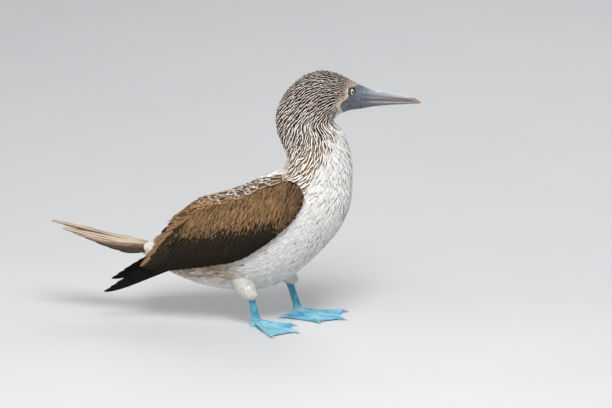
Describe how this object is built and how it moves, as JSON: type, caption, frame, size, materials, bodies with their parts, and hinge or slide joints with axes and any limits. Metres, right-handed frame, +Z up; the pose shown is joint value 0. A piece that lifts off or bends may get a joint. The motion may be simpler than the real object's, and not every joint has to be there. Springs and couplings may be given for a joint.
{
  "type": "blue footed booby",
  "caption": "Standing seabird with a long pointed bill, folded wings, a pointed tail and broad webbed feet, as a still life-size model.",
  "frame": {"origin": "on the floor, under the middle of the bird's extent", "axes": "+X is the way the bird faces, +Z is up, and its right side is towards -Y"},
  "size_m": [0.6146, 0.1928, 0.4271],
  "materials": {
    "streaked_feathers": "soft, cream and dark brown streaks",
    "white_feathers": "soft white",
    "brown_feathers": "soft warm brown, darker on the long feathers",
    "dark_flight_feathers": "blackish with a faint sheen",
    "pale_tail_feathers": "cream to pale brown",
    "grey_horn": "satin horn",
    "yellow_eye": "wet gloss",
    "turquoise_leg_skin": "finely scaled satin skin",
    "blue_web_skin": "satin skin with fine creases",
    "grey_claw": "satin horn"
  },
  "bodies": {
    "root": {"head": "streaked_feathers", "neck": "streaked_feathers", "torso": "white_feathers", "thigh_right": "white_feathers", "thigh_left": "white_feathers", "wing_right": "brown_feathers", "wing_left": "brown_feathers", "primaries_right": "dark_flight_feathers", "primaries_left": "dark_flight_feathers", "tail": "pale_tail_feathers", "bill_upper": "grey_horn", "bill_lower": "grey_horn", "eye_right": "yellow_eye", "eye_left": "yellow_eye", "leg_right": "turquoise_leg_skin", "leg_left": "turquoise_leg_skin", "foot_right": "blue_web_skin", "foot_left": "blue_web_skin", "claw_right_1": "grey_claw", "claw_right_2": "grey_claw", "claw_right_3": "grey_claw", "claw_right_4": "grey_claw", "claw_left_1": "grey_claw", "claw_left_2": "grey_claw", "claw_left_3": "grey_claw", "claw_left_4": "grey_claw"}
  },
  "joints": []
}
